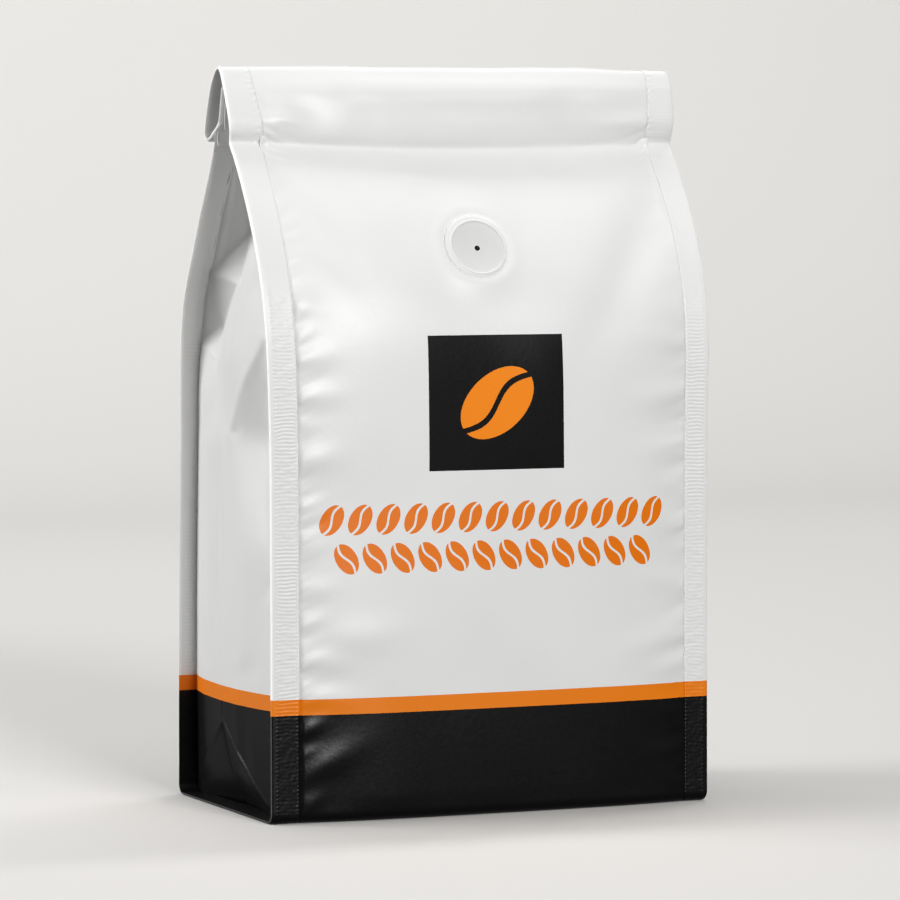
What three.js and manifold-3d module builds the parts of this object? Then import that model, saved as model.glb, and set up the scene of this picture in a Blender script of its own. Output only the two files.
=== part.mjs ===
// A filled coffee pouch with four sealed side edges, rolled shut at the top,
// and its one-way valve. Millimetres, +Z up, front panel towards -Y.
import * as THREE from 'three';
import { mergeVertices } from 'three/addons/utils/BufferGeometryUtils.js';
import Module from 'manifold-3d';

const manifold = await Module();
manifold.setup();

// Driving dimensions.
const bagWidth = 134; // across the seal tips at the foot
const bagDepth = 74.8; // between the outer faces of the front and back seals
const creaseHeight = 187; // where the panels turn up into the rolled top
const rollTop = 209.3;
const rollWidth = 139;
const rollFullness = 0.5; // how much rounder the fold is away from the seals
const rollEndDepth = 1.2; // how far the folded edges inside the roll sit back from its ends
const sealThickness = 0.8; // two layers of laminate welded together
const frontSealWidth = 8.4;
const backSealWidth = 6.6;
const footRadius = 3; // bend from the panels into the flat bottom
const ledgeThickness = 0.7; // the bottom seal that sticks out under each gusset

const valveRadius = 9.8;
const valveHeight = 159;
const valveCentreX = -3;
const valveTilt = THREE.MathUtils.degToRad(25);
const valvePlateThickness = 1.4;
const fitGap = 0.3; // between the valve and its seat

// A smooth curve through [height, value] rows, read at any height.
function rowCurve(rows) {
  const slope = (i) => {
    const a = rows[Math.max(i - 1, 0)];
    const b = rows[Math.min(i + 1, rows.length - 1)];
    return (b[1] - a[1]) / (b[0] - a[0]);
  };
  return (z) => {
    const last = rows.length - 1;
    if (z <= rows[0][0]) return rows[0][1];
    if (z >= rows[last][0]) return rows[last][1];
    const i = rows.findIndex((row) => row[0] > z) - 1;
    const span = rows[i + 1][0] - rows[i][0];
    const t = (z - rows[i][0]) / span;
    const bend = t * t * (3 - 2 * t);
    const start = slope(i) * span * t * (1 - t) * (1 - t);
    const end = slope(i + 1) * span * t * t * (t - 1);
    return rows[i][1] + (rows[i + 1][1] - rows[i][1]) * bend + start + end;
  };
}

// Straight lines between [height, value] rows, for the gusset's creased folds.
function rowLines(rows) {
  return (z) => {
    const next = rows.findIndex((row) => row[0] >= z);
    if (next === 0) return rows[0][1];
    if (next < 0) return rows[rows.length - 1][1];
    const [low, high] = [rows[next - 1], rows[next]];
    return THREE.MathUtils.mapLinear(z, low[0], high[0], low[1], high[1]);
  };
}

// The seals' outer faces and tips, as heights against distances.
const frontSeal = rowCurve([
  [0, bagDepth / 2], [60, 37.0], [112, 36.7], [132, 36.1], [144, 34.2],
  [155, 30.6], [166, 25.2], [177, 18.1], [creaseHeight, 10.6],
]);
const backSeal = rowCurve([
  [0, bagDepth / 2], [60, 36.8], [112, 34.6], [132, 32.6], [144, 29.2],
  [155, 22.8], [166, 16.4], [177, 9.4], [creaseHeight, 3.4],
]);
const sealTip = rowCurve([
  [0, bagWidth / 2], [100, bagWidth / 2], [135, 67.7], [155, 68.2], [creaseHeight, 68.9],
]);
const frontBulge = rowCurve([
  [0, 2.2], [8, 3.6], [32, 4.2], [90, 4.6], [140, 4.0], [165, 2.4], [creaseHeight, 0.2],
]);
const backBulge = rowCurve([
  [0, 2.2], [8, 3.6], [32, 4.2], [90, 4.8], [125, 4.2], [150, 2.4], [creaseHeight, 0.2],
]);

// The top is rolled a little askew: how far back a point goes for each millimetre to the right.
const rollYaw = rowCurve([[140, 0], [162, 0.01], [creaseHeight, 0.025], [192, 0.023], [204, 0]]);

// How far the outer and inner faces draw back where the panels bend into the bottom.
function footDraw(z, radius) {
  const drop = Math.max(footRadius - z, 0);
  return radius - Math.sqrt(Math.max(radius * radius - drop * drop, 0));
}

// The share of a panel's bulge at a place across it: none on the seals, full in the middle.
function bulgeShare(x, z) {
  const inner = sealTip(z) - frontSealWidth;
  const u = Math.min(Math.abs(x) / inner, 1);
  return 1 - u ** 3.6;
}

// Joins closed rings of equal length into one closed skin. Each flat end is a ladder:
// a rung joins a corner to the one as far from the ring's other end.
function loft(rings) {
  const count = rings[0].length;
  const positions = rings.flat().flatMap((p) => [p.x, p.y, p.z]);
  const faces = [];
  for (let r = 0; r + 1 < rings.length; r += 1) {
    for (let k = 0; k < count; k += 1) {
      const a = r * count + k;
      const b = r * count + ((k + 1) % count);
      faces.push(a, b, b + count, a, b + count, a + count);
    }
  }
  const top = (rings.length - 1) * count;
  for (let k = 0; k + 1 < count - 1 - k; k += 1) {
    const [a, b, c, d] = [k, k + 1, count - 2 - k, count - 1 - k];
    faces.push(d, c, a, top + a, top + c, top + d);
    if (b < c) faces.push(c, b, a, top + a, top + b, top + c);
  }
  const geometry = new THREE.BufferGeometry();
  geometry.setAttribute('position', new THREE.Float32BufferAttribute(positions, 3));
  geometry.setIndex(faces);
  return geometry;
}

function toSolid(geometry) {
  const bare = new THREE.BufferGeometry();
  bare.setAttribute('position', geometry.getAttribute('position'));
  if (geometry.index) bare.setIndex(geometry.index);
  const merged = mergeVertices(bare, 1e-4);
  const mesh = new manifold.Mesh({
    numProp: 3,
    vertProperties: Float32Array.from(merged.getAttribute('position').array),
    triVerts: Uint32Array.from(merged.index.array),
  });
  mesh.merge();
  return new manifold.Manifold(mesh);
}

function toGeometry(solid) {
  const mesh = solid.getMesh();
  const geometry = new THREE.BufferGeometry();
  geometry.setAttribute('position', new THREE.Float32BufferAttribute(mesh.vertProperties, 3));
  geometry.setIndex(Array.from(mesh.triVerts));
  return geometry;
}

// Evenly spaced heights from low up to high, without high itself.
function heightsBetween(low, high, step) {
  const count = Math.ceil((high - low) / step);
  return Array.from({ length: count }, (_, i) => low + ((high - low) * i) / count);
}

// The filled body as if the seals were as deep as the bag: a block with bulged panels.
function bodyBlock() {
  const panelSteps = 22;
  const heights = [0, 0.25, 0.9, 1.8];
  heights.push(...heightsBetween(footRadius, 110, 12));
  heights.push(...heightsBetween(110, creaseHeight, 5.5), creaseHeight + 0.8);
  const rings = heights.map((z) => {
    const tip = sealTip(z);
    const inner = tip - frontSealWidth;
    const across = [-tip];
    for (let i = 0; i <= panelSteps; i += 1) {
      across.push(-inner * Math.cos((Math.PI * i) / panelSteps));
    }
    across.push(tip);
    const draw = footDraw(z, footRadius);
    const front = across.map((x) => {
      const y = frontSeal(z) + frontBulge(z) * bulgeShare(x, z) - draw;
      return new THREE.Vector3(x, -y, z);
    });
    const back = across.map((x) => {
      const y = backSeal(z) + backBulge(z) * bulgeShare(x, z) - draw;
      return new THREE.Vector3(x, y, z);
    });
    return [...front, ...back.reverse()];
  });
  return toSolid(loft(rings));
}

// The gusset between two seals, measured inwards from the seal tips: bulged by the beans low
// down, folded in along its middle above them, with a dent under a slanting ridge in front.
const gussetBulge = rowCurve([
  [ledgeThickness, 1.5], [4, 2.6], [10, 3.8], [32, 4.8], [70, 5.0],
  [112, 5.0], [128, 4.2], [140, 2], [150, 0],
]);
const foldDepth = rowLines([
  [108, 0], [134, 1.0], [148, 8], [163, 24], [175, 31], [creaseHeight, 34],
]);
const ridgeFoot = 108; // the ridge's height at the gusset's middle
const ridgeHead = 148; // and where it would meet the front seal
const dentDepth = 2.6;
const dentReach = 8; // how far under the ridge the dent is deepest

function frontDent(v, z) {
  if (v > 0.5) return 0;
  const below = (THREE.MathUtils.lerp(ridgeHead, ridgeFoot, v * 2) - z) / dentReach;
  return below > 0 ? dentDepth * below * Math.exp(1 - below) * Math.sin(Math.PI * v) : 0;
}

function gussetDepth(v, z) {
  const base = THREE.MathUtils.lerp(frontSealWidth, backSealWidth, v);
  const fold = foldDepth(z) * (1 - Math.abs(2 * v - 1));
  return base - gussetBulge(z) * Math.sin(Math.PI * v) ** 0.8 + fold + frontDent(v, z);
}

// What is missing between the front and back seals on one side, out past their tips.
function gussetHollow(side) {
  const beyond = 6;
  const stations = [0, 0.03, 0.08, 0.16, 0.26, 0.38, 0.5, 0.62, 0.74, 0.84, 0.92, 0.97, 1];
  const heights = [ledgeThickness, 1.1, 1.8, footRadius, 6, 10];
  heights.push(...heightsBetween(18, 84, 16), ...heightsBetween(84, 148, 6.4), 148);
  heights.push(...heightsBetween(153, creaseHeight, 5), creaseHeight + 0.3);
  const rings = heights.map((z) => {
    const draw = footDraw(z, footRadius - sealThickness) + sealThickness;
    const front = -frontSeal(z) + draw;
    const back = backSeal(z) - draw;
    const tip = sealTip(z);
    const ring = [new THREE.Vector3(side * (tip + beyond), front, z)];
    for (const v of stations) {
      const y = THREE.MathUtils.lerp(front, back, v);
      ring.push(new THREE.Vector3(side * (tip - gussetDepth(v, z)), y, z));
    }
    ring.push(new THREE.Vector3(side * (tip + beyond), back, z));
    return side < 0 ? ring : ring.reverse();
  });
  return toSolid(loft(rings));
}

// The rolled top: front leg up, over the fold and down again as the flap behind,
// with the narrow gap between the flap and the back panel. Seen from the side.
function rollOutline() {
  const frontLeg = [[-9.8, creaseHeight - 2], [-10.1, 190.5], [-10.2, 194], [-9.4, 198.5], [-8.0, 203]];
  const overTop = [[-6.6, 206], [-5.2, 208.2], [-3.6, rollTop], [-1.7, 208.8], [0.2, 207.4]];
  const flap = [[3.0, 204], [5.2, 200.3], [8.0, 195.4], [10.3, 191.2]];
  const flapEdge = [[10.5, 189.7], [9.7, 188.6], [8.4, 188.2], [7.1, 188.7]];
  const gap = [[4.4, 196.5], [3.2, 189.5], [2.4, creaseHeight - 2]];
  return [...frontLeg, ...overTop, ...flap, ...flapEdge, ...gap];
}

// Extrudes a side outline along X, from one place across the bag to another.
function alongWidth(outline, from, to, steps) {
  const shape = new THREE.Shape(outline.map(([y, z]) => new THREE.Vector2(y, z)));
  const geometry = new THREE.ExtrudeGeometry(shape, { depth: to - from, steps, bevelEnabled: false });
  const turn = new THREE.Matrix4().makeBasis(
    new THREE.Vector3(0, 1, 0), new THREE.Vector3(0, 0, 1), new THREE.Vector3(1, 0, 0),
  );
  return geometry.applyMatrix4(turn).translate(from, 0, 0);
}

function rolledTop() {
  const geometry = alongWidth(rollOutline(), -rollWidth / 2, rollWidth / 2, 12);
  const place = geometry.getAttribute('position');
  for (let i = 0; i < place.count; i += 1) {
    const u = Math.abs(place.getX(i)) / (rollWidth / 2);
    const inFront = place.getY(i) < -4 && place.getZ(i) > creaseHeight;
    if (inFront) place.setY(i, place.getY(i) - rollFullness * (1 - u ** 4));
  }
  return toSolid(geometry);
}

// The shallow pocket in each end of the roll, between the front leg and the back panel.
function rollEndPocket(side) {
  const outline = [[-9.4, 189], [-9.2, 195], [-7.4, 202], [-4.2, 206.6], [0.6, 202], [2.4, 195], [2.7, 189]];
  const bottom = rollWidth / 2 - rollEndDepth;
  const [from, to] = side < 0 ? [-rollWidth, -bottom] : [bottom, rollWidth];
  return toSolid(alongWidth(outline, from, to, 1));
}

// Places a shape made along +Y up against the sloping front panel, facing out of it.
function valvePlacement() {
  const panelY = -(frontSeal(valveHeight) + frontBulge(valveHeight) * bulgeShare(valveCentreX, valveHeight));
  const facing = new THREE.Matrix4().makeRotationX(Math.PI - valveTilt);
  return facing.setPosition(valveCentreX, panelY, valveHeight);
}

function valveSeat() {
  const depth = valvePlateThickness + 3;
  const seat = new THREE.CylinderGeometry(valveRadius + fitGap, valveRadius + fitGap, depth, 48);
  seat.translate(0, depth / 2 - valvePlateThickness, 0);
  return toSolid(seat.applyMatrix4(valvePlacement()));
}

function turnTop(geometry) {
  const place = geometry.getAttribute('position');
  for (let i = 0; i < place.count; i += 1) {
    place.setY(i, place.getY(i) + rollYaw(place.getZ(i)) * place.getX(i));
  }
  geometry.computeVertexNormals();
  return geometry;
}

function makePouch() {
  let body = bodyBlock();
  for (const side of [-1, 1]) body = body.subtract(gussetHollow(side));
  body = body.add(rolledTop());
  for (const side of [-1, 1]) body = body.subtract(rollEndPocket(side));
  return turnTop(toGeometry(body.subtract(valveSeat())));
}

// The valve: a thin round plate with a raised rim, a dished middle and a pinhole.
function makeValve() {
  const pinholeRadius = 0.7;
  const pinholeDepth = 0.6;
  const back = fitGap - valvePlateThickness;
  const profile = [
    [0, back], [valveRadius, back], [valveRadius, 0.1], [9.2, 0.6], [8.4, 0.75], [7.6, 0.45],
    [7.2, 0.4], [5, 0.3], [2, 0.25], [pinholeRadius, 0.25],
    [pinholeRadius, 0.25 - pinholeDepth], [0, 0.25 - pinholeDepth],
  ];
  const points = profile.map(([r, y]) => new THREE.Vector2(r, y));
  return turnTop(new THREE.LatheGeometry(points, 48).applyMatrix4(valvePlacement()));
}

const laminate = new THREE.MeshStandardMaterial({ color: 0xe9e9e8, roughness: 0.5, metalness: 0 });
const valvePlastic = new THREE.MeshStandardMaterial({ color: 0xf0f0ef, roughness: 0.4, metalness: 0 });

function namedMesh(name, geometry, material) {
  const mesh = new THREE.Mesh(geometry, material);
  mesh.name = name;
  return mesh;
}

const part = new THREE.Group();
part.add(namedMesh('pouch', makePouch(), laminate));
part.add(namedMesh('degassing_valve', makeValve(), valvePlastic));

export default part;
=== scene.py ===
import math

import bmesh
import bpy
import numpy as np
from mathutils import Matrix, Vector, geometry


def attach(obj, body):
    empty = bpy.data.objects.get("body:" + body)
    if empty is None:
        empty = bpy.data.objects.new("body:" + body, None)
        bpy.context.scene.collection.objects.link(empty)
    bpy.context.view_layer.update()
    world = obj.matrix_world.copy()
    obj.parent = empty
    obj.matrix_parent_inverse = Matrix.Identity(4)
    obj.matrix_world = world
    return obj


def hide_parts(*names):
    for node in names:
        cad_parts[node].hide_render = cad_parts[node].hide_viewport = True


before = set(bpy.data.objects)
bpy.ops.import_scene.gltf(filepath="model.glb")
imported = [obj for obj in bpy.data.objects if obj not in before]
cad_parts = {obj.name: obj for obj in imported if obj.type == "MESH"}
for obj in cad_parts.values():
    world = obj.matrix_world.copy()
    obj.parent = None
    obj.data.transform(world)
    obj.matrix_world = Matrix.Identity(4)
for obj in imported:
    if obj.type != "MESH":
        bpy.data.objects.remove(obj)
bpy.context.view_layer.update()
print("CAD nodes", sorted(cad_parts))

# Shapes are worked out in millimetres and stored in metres. The front of the pouch faces -Y.
mm = 0.001
creaseHeight = 187  # where the panels turn up into the roll
filmThickness = 0.3
sealThickness = 0.8  # two layers of film welded together
backSealWidth = 6.6
rightNarrower = 0.8  # how much narrower the front's right seal is than its left
footRadius = 3  # the bend from the panels into the flat bottom
footDepth = 37.4  # half the depth across the seals at the foot
ledgeTop = 0.75  # the bottom seal that sticks out under each gusset


# A smooth curve through rows of a place and its value.
def rowCurve(rows):
    at, value = np.array(rows, float).T
    low = np.maximum(np.arange(len(at)) - 1, 0)
    high = np.minimum(np.arange(len(at)) + 1, len(at) - 1)
    slope = (value[high] - value[low]) / (at[high] - at[low])

    def curve(place):
        place = np.clip(place, at[0], at[-1])
        i = np.clip(np.searchsorted(at, place, side="right") - 1, 0, len(at) - 2)
        span = at[i + 1] - at[i]
        t = (place - at[i]) / span
        bend = t * t * (3 - 2 * t)
        start = slope[i] * span * t * (1 - t) ** 2
        end = slope[i + 1] * span * t * t * (t - 1)
        return value[i] + (value[i + 1] - value[i]) * bend + start + end

    return curve


def smoothStep(low, high, value):
    t = np.clip((value - low) / (high - low), 0, 1)
    return t * t * (3 - 2 * t)


# Distances against heights, the same as in the solid.
frontSeal = rowCurve([
    [0, footDepth], [60, 37.0], [112, 36.7], [132, 36.1], [144, 34.2], [155, 30.6], [166, 25.2], [177, 18.1],
    [187, 10.6],
])
backSeal = rowCurve([
    [0, footDepth], [60, 36.8], [112, 34.6], [132, 32.6], [144, 29.2], [155, 22.8], [166, 16.4], [177, 9.4],
    [187, 3.4],
])
sealTip = rowCurve([[0, 67], [100, 67], [135, 67.7], [155, 68.2], [187, 68.9], [195, 69.4], [210, 69.5]])
frontBulge = rowCurve([[0, 2.8], [8, 3.7], [32, 4.2], [90, 4.6], [140, 4.0], [165, 2.4], [187, 0.2]])
backBulge = rowCurve([[0, 2.4], [8, 3.6], [32, 4.2], [90, 4.8], [125, 4.2], [150, 2.4], [187, 0.2]])
frontWidth = rowCurve([[0, 8.4], [80, 8.2], [140, 8.4], [176, 8.8], [187, 9.3], [192, 9.8], [206, 8.7]])
rollYaw = rowCurve([[140, 0], [162, 0.01], [187, 0.025], [192, 0.023], [204, 0]])
gussetBulge = rowCurve([
    [0.7, 1.5], [4, 2.6], [10, 3.8], [32, 4.8], [70, 5.0], [112, 5.0], [128, 4.2], [140, 2], [150, 0],
])

# Smooth random waves over a plane, one cell a unit. Each layer repeats after this many cells.
cells = 97
lattice = np.random.default_rng(11).random((12, cells, cells)) * 2 - 1


def waves(layer, x, y):
    left = np.floor(x).astype(int)
    low = np.floor(y).astype(int)
    fx = x - left
    fy = y - low
    fx = fx * fx * (3 - 2 * fx)
    fy = fy * fy * (3 - 2 * fy)
    table = lattice[layer]
    a, b = left % cells, (left + 1) % cells
    c, d = low % cells, (low + 1) % cells
    lower = table[a, c] * (1 - fx) + table[b, c] * fx
    upper = table[a, d] * (1 - fx) + table[b, d] * fx
    return lower * (1 - fy) + upper * fy


# The laminate's way round the pouch, seen from the side as (y, z): up from the film that is
# folded back inside the roll, over the top, down the front, under, up the back and into the roll.
# It is sampled in steps, blurred over so many samples, and the panels stop a margin short of its ends.
wrap = {
    "roll": [
        (-0.9, 203.4), (0.3, 200.4), (1.9, 196.6), (2.9, 194.4), (4.6, 192.2), (6.3, 190.2), (7.4, 188.8),
        (8.6, 188.2), (9.8, 188.7), (10.5, 189.9), (10.2, 191.4), (8.0, 195.6), (5.3, 200.3), (3.0, 204.0),
        (0.3, 207.3), (-1.7, 208.8), (-3.6, 209.3), (-5.3, 208.3), (-6.7, 206.0), (-8.2, 203.0),
        (-9.7, 198.5), (-10.7, 194.4), (-10.5, 190.9), (-9.7, 188.3), (-10.3, 186.8), (-12.4, 184.6),
    ],
    "middleLeg": [(3.5, 187.0), (2.6, 190.0), (1.8, 193.5), (0.9, 197.0), (-0.6, 201.0), (-2.4, 204.5)],
    "curve": 24, "step": 0.5, "spacing": 0.1, "blur": 25, "margin": 0.5, "rollFront": -4,
}
seat = footDepth - footRadius  # half the depth of the flat bottom


def wrapPath():
    roll, step = wrap["roll"], wrap["step"]
    knots = np.array([2 * np.array(roll[0]) - roll[1]] + roll + [2 * np.array(roll[-1]) - roll[-2]], float)
    t = np.linspace(0, 1, wrap["curve"], endpoint=False)[:, None]
    dense = []
    for i in range(1, len(knots) - 2):
        a, b, c, d = knots[i - 1:i + 3]
        dense.append(0.5 * (2 * b + (c - a) * t + (2 * a - 5 * b + 4 * c - d) * t ** 2
                            + (3 * b - a - 3 * c + d) * t ** 3))
    down = np.arange(184, footRadius, -step)
    turn = np.linspace(0, math.pi / 2, wrap["curve"])
    dense.append(np.stack([-frontSeal(down), down], 1))
    dense.append(np.stack([-seat - footRadius * np.cos(turn), footRadius - footRadius * np.sin(turn)], 1))
    dense.append(np.stack([np.linspace(-seat, seat, 150)[1:], np.zeros(149)], 1))
    dense.append(np.stack([seat + footRadius * np.sin(turn), footRadius - footRadius * np.cos(turn)], 1)[1:])
    up = np.arange(footRadius + step, 186, step)
    dense.append(np.stack([backSeal(up), up], 1))
    line = np.concatenate(dense + [np.array(wrap["middleLeg"])])
    reach = np.concatenate([[0], np.cumsum(np.hypot(*np.diff(line, axis=0).T))])
    even = np.arange(0, reach[-1], wrap["spacing"])
    y, z = (np.interp(even, reach, line[:, k]) for k in (0, 1))
    kernel = np.exp(-np.linspace(-2, 2, wrap["blur"]) ** 2)
    kernel /= kernel.sum()
    pad = len(kernel) // 2
    y, z = (np.convolve(np.pad(w, pad, mode="reflect", reflect_type="odd"), kernel, "valid") for w in (y, z))
    dy, dz = np.gradient(y), np.gradient(z)
    length = np.hypot(dy, dz)
    return even, y, z, dz / length, -dy / length


# Distances along the wrap at which it reaches its parts.
wrapReach, wrapY, wrapZ, wrapOutY, wrapOutZ = wrapPath()
frontFoot = wrapReach[np.argmax((wrapY > -seat) & (wrapZ < 0.2) & (wrapReach > 100))]
backFoot = frontFoot + 2 * seat
middle = (frontFoot + backFoot) / 2
wrapEnd = wrapReach[-1]
frontCrease = wrapReach[np.argmin(np.hypot(wrapY + frontSeal(creaseHeight), wrapZ - creaseHeight))]


def wrapAt(reach):
    return [np.interp(reach, wrapReach, column) for column in (wrapY, wrapZ, wrapOutY, wrapOutZ)]


# The upper pouch is twisted a little about the upright.
def turned(points):
    points[..., 1] += rollYaw(points[..., 2]) * points[..., 0]
    return points


def frontSealWidth(z, side):
    return frontWidth(z) - (rightNarrower if side > 0 else 0)


def sealWidth(reach, z, side):
    share = smoothStep(frontFoot, backFoot, reach)
    return frontSealWidth(z, side) * (1 - share) + backSealWidth * share


def makeObject(name, form):
    for face in form.faces:
        face.smooth = True
    mesh = bpy.data.meshes.new(name)
    form.to_mesh(mesh)
    form.free()
    piece = bpy.data.objects.new(name, mesh)
    bpy.context.scene.collection.objects.link(piece)
    return piece


# A grid whose corners are moved to where `place` puts them, for shares u across and v along.
def makeSheet(name, columns, rows, place):
    form = bmesh.new()
    bmesh.ops.create_grid(form, x_segments=columns, y_segments=rows, size=1)
    piece = makeObject(name, form)
    corners = piece.data.vertices
    flat = np.empty(len(corners) * 3)
    corners.foreach_get("co", flat)
    u, v = (flat.reshape(-1, 3)[:, :2].T + 1) / 2
    points = turned(place(u, v)) * mm
    points[:, 2] = np.maximum(points[:, 2], 0)  # the pouch rests on the floor
    corners.foreach_set("co", points.ravel())
    piece.data.update()
    return piece


def thicken(piece, amount=filmThickness):
    wall = piece.modifiers.new("film", "SOLIDIFY")
    wall.thickness = amount * mm
    wall.offset = -1
    return piece


# A closed block from a sheet, pushed sideways into the pouch.
def deepen(piece, shift):
    form = bmesh.new()
    form.from_mesh(piece.data)
    made = bmesh.ops.extrude_face_region(form, geom=form.faces[:], use_keep_orig=True)["geom"]
    verts = [g for g in made if isinstance(g, bmesh.types.BMVert)]
    bmesh.ops.translate(form, vec=(shift * mm, 0, 0), verts=verts)
    bmesh.ops.recalc_face_normals(form, faces=form.faces)
    form.to_mesh(piece.data)
    form.free()
    return piece


# A surface moved along its own normal by the relief.
def relieved(base, relief, u, v):
    step = 4e-4
    across = base(u + step, v) - base(u - step, v)
    along = base(u, v + step) - base(u, v - step)
    normal = np.cross(across, along)
    normal /= np.linalg.norm(normal, axis=1, keepdims=True)
    return base(u, v) + normal * relief(u, v)[:, None]


# One soft fold or dent: a bell across its width that fades along its length.
def fold(x, z, row):
    cx, cz, angle, length, width, height = row
    turn = math.radians(angle)
    along = (x - cx) * math.cos(turn) + (z - cz) * math.sin(turn)
    across = (z - cz) * math.cos(turn) - (x - cx) * math.sin(turn)
    return height * np.exp(-(along / length) ** 2 - (across / width) ** 2)


# Both panels reach a little under their seals. Their columns crowd towards the seals, where the
# puckers are, and the bulge is squarer than a circle.
panel = {"overlap": 0.6, "crowding": 0.65, "squareness": 3.6, "sealStep": 0.5}


def acrossPanel(t, inner):
    t = (1 - panel["crowding"]) * t + panel["crowding"] * np.sin(t * math.pi / 2)
    x = t * (inner + panel["overlap"])
    return x, 1 - np.minimum(np.abs(x) / inner, 1) ** panel["squareness"]


# The film draws in at the seals' inner lines.
def sealLine(gap):
    return panel["sealStep"] * (1 - smoothStep(-0.45, 0.35, gap))


# The front panel with the outside of the roll, from the fold inside the roll to the middle of the bottom.
front = {
    "columns": 126, "rows": 386, "puckerPitch": 6.3, "finePitch": 2.7, "finePucker": 0.09,
    "folds": 0.87, "broadWave": 0.55, "smallWave": 0.22, "turnPitch": 3.1, "turnPucker": 0.36,
    "rollWave": 0.16, "rollBulge": 2.0, "sag": 1.8,
}


def frontPlace(u, v):
    reach = middle * (1 - v) + wrap["margin"] * v
    y, z, outY, outZ = wrapAt(reach)
    t = 2 * u - 1
    inner = sealTip(z) - np.where(t < 0, sealWidth(reach, z, -1), sealWidth(reach, z, 1))
    x, share = acrossPanel(t, inner)
    onFace = smoothStep(frontCrease - 3, frontCrease + 4, reach)
    under = np.clip((middle - reach) / (middle - frontFoot), 0, 1)
    y = y - frontBulge(z) * share * onFace * under
    outside = y < wrap["rollFront"]  # the roll's front, not the layers inside it
    roll = share * (1 - onFace) * (0.4 + front["rollBulge"] * np.exp(-((z - 201.5) / 5.0) ** 2) * outside)
    sag = front["sag"] * (1 - np.minimum(np.abs(x) / inner, 1) ** 2)
    sag *= np.exp(-((z - creaseHeight) / 9) ** 2) * outside
    return np.stack([x, y + outY * roll, z + outZ * roll - sag], 1), reach, inner


# The valve's place, which the front panel is fitted to: a shallow seat, and a ring raised round it.
valve = {
    "x": -2.8, "z": 158.6, "tilt": math.radians(25), "holeShade": 0.83, "shift": (-0.42, 0.38),
    "seat": 0.75, "ring": 0.22, "ringRadius": 11.6, "flattening": 0.0036, "panelHalf": 59.7,
}
valveBulge = frontBulge(valve["z"]) * (1 - abs(valve["x"] / valve["panelHalf"]) ** panel["squareness"])
valve["y"] = -float(frontSeal(valve["z"]) + valveBulge)

# Folds that run in from the side seals, by middle (x, z), direction, half length, half width and height.
frontFolds = [
    (-56, 143.0, -6, 6.2, 3.6, 0.75), (-56, 128.0, 18, 7.2, 3.3, 0.80), (-56, 117.9, 7, 7.6, 3.2, 0.80),
    (-56, 100.5, 12, 7.3, 3.6, 0.80), (-57, 109.7, 13, 4.4, 2.2, 0.30), (-57, 135.3, 19, 3.7, 2.0, 0.30),
    (-57, 86.9, 13, 5.2, 3.0, 0.45), (-57, 77.1, 15, 6.1, 3.4, 0.45), (-57, 64.6, 6, 6.8, 3.0, 0.50),
    (-57, 55.8, 15, 5.3, 3.0, 0.55), (-55, 45.1, -6, 9.3, 3.6, 0.80), (-43, 51.4, 5, 14.1, 5.0, 0.55),
    (-55, 35.4, -7, 10.0, 3.6, 0.70), (-57, 26.2, 23, 5.6, 3.0, 0.75), (-54, 15.5, 26, 11.6, 4.0, 1.00),
    (-57, 4.6, 44, 6.4, 3.0, 0.80), (-58, 19.4, 24, 4.3, 1.8, 0.30), (57, 140.2, 176, 7.5, 3.4, 0.50),
    (56, 132.4, 171, 8.9, 3.4, 0.65), (55, 117.1, -173, 10.3, 4.2, 0.95), (56, 102.4, -174, 9.0, 3.6, 0.80),
    (57, 91.0, -178, 6.4, 3.0, 0.45), (56, 80.9, 178, 7.7, 3.6, 0.45), (56, 63.6, 172, 9.0, 3.6, 0.60),
    (55, 48.9, -164, 11.9, 3.8, 0.80), (56, 39.9, -174, 7.7, 3.2, 0.60), (57, 26.0, 158, 6.8, 3.0, 0.50),
    (56, 14.9, 170, 7.7, 3.6, 0.60), (57, 7.2, 160, 6.1, 3.0, 0.50),
    (-49, 165.0, -60, 14.0, 5.0, -1.30), (-38, 166.0, -58, 13.0, 5.0, 0.30),
    (47, 157.0, 54, 24.0, 7.5, -2.40),
]
# Dents and ridges in the outside of the roll.
rollFolds = [
    (-57.5, 198.5, 80, 4.0, 2.6, -0.45), (-46, 197.0, -35, 8.0, 4.5, -0.60), (2, 198.0, 0, 12.0, 4.0, -0.25),
    (-53, 194.6, -4, 8.0, 2.4, 0.65), (57, 194.2, 3, 9.0, 2.4, 0.65), (-28, 197.0, -60, 8.0, 5.0, -0.35),
    (32, 200.0, 8, 9.0, 3.6, -0.25), (-33.8, 203.0, 30, 4.0, 2.4, -0.25), (50, 199.0, -30, 6.0, 4.0, -0.25),
]


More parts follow.
